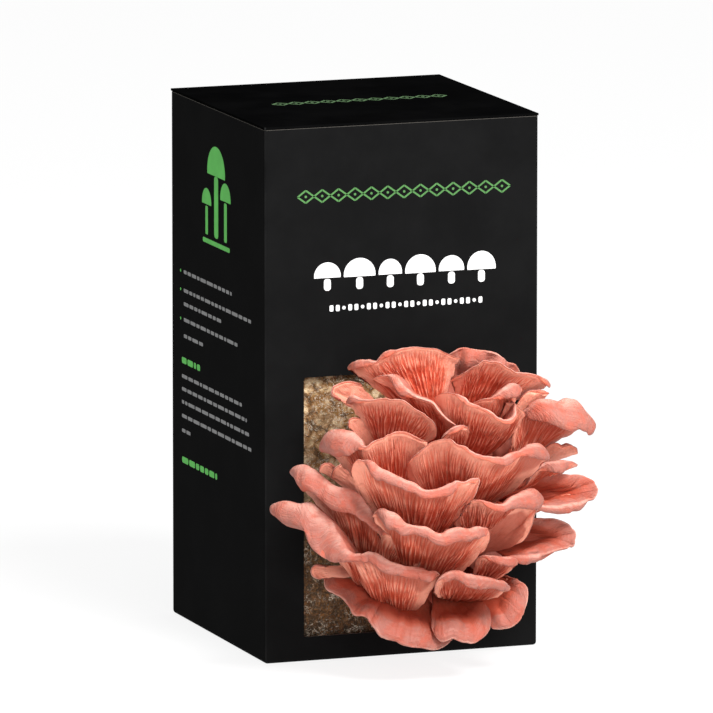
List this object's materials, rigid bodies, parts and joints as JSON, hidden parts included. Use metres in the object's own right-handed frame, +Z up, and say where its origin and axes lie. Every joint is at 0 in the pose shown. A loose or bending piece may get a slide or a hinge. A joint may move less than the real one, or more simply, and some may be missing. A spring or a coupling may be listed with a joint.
{
  "type": "mushroom grow kit",
  "caption": "Tall windowed carton with a hinged tuck lid, a bagged growing block inside and a cluster of fan-shaped oyster mushrooms growing out of the window.",
  "frame": {"origin": "centre of the carton's underside", "axes": "+Z up; the front wall with its window faces -Y; +X is to the right seen from the front"},
  "size_m": [0.1598, 0.2268, 0.25],
  "materials": {
    "carton_board": "black satin print over folding boxboard",
    "lid_board": "black satin print over folding boxboard",
    "bag_film": "clear crinkled film",
    "mycelium_block": "pressed sawdust grown through with white mycelium",
    "cluster_base_flesh": "matt pale pink flesh",
    "mushroom_flesh": "matt salmon pink flesh with deep coral gills"
  },
  "bodies": {
    "kit": {"carton": "carton_board", "grow_bag": "bag_film", "substrate_block": "mycelium_block", "cluster_base": "cluster_base_flesh", "mushroom_01": "mushroom_flesh", "mushroom_02": "mushroom_flesh", "mushroom_03": "mushroom_flesh", "mushroom_04": "mushroom_flesh", "mushroom_05": "mushroom_flesh", "mushroom_06": "mushroom_flesh", "mushroom_07": "mushroom_flesh", "mushroom_08": "mushroom_flesh", "mushroom_09": "mushroom_flesh", "mushroom_10": "mushroom_flesh", "mushroom_11": "mushroom_flesh", "mushroom_12": "mushroom_flesh", "mushroom_13": "mushroom_flesh", "mushroom_14": "mushroom_flesh", "mushroom_15": "mushroom_flesh", "mushroom_16": "mushroom_flesh", "mushroom_17": "mushroom_flesh", "mushroom_18": "mushroom_flesh", "mushroom_19": "mushroom_flesh", "mushroom_20": "mushroom_flesh", "mushroom_21": "mushroom_flesh", "mushroom_22": "mushroom_flesh", "mushroom_23": "mushroom_flesh", "mushroom_24": "mushroom_flesh", "mushroom_25": "mushroom_flesh", "mushroom_26": "mushroom_flesh", "mushroom_27": "mushroom_flesh", "mushroom_28": "mushroom_flesh", "mushroom_29": "mushroom_flesh", "mushroom_30": "mushroom_flesh", "mushroom_31": "mushroom_flesh", "mushroom_32": "mushroom_flesh", "mushroom_33": "mushroom_flesh"},
    "lid": {"lid": "lid_board"}
  },
  "joints": [
    {"name": "lid_hinge", "type": "hinge", "parent": "kit", "child": "lid", "pos_m": [0, 0.066, 0.249], "axis": [-1, 0, 0], "range_deg": [0, 110]}
  ]
}
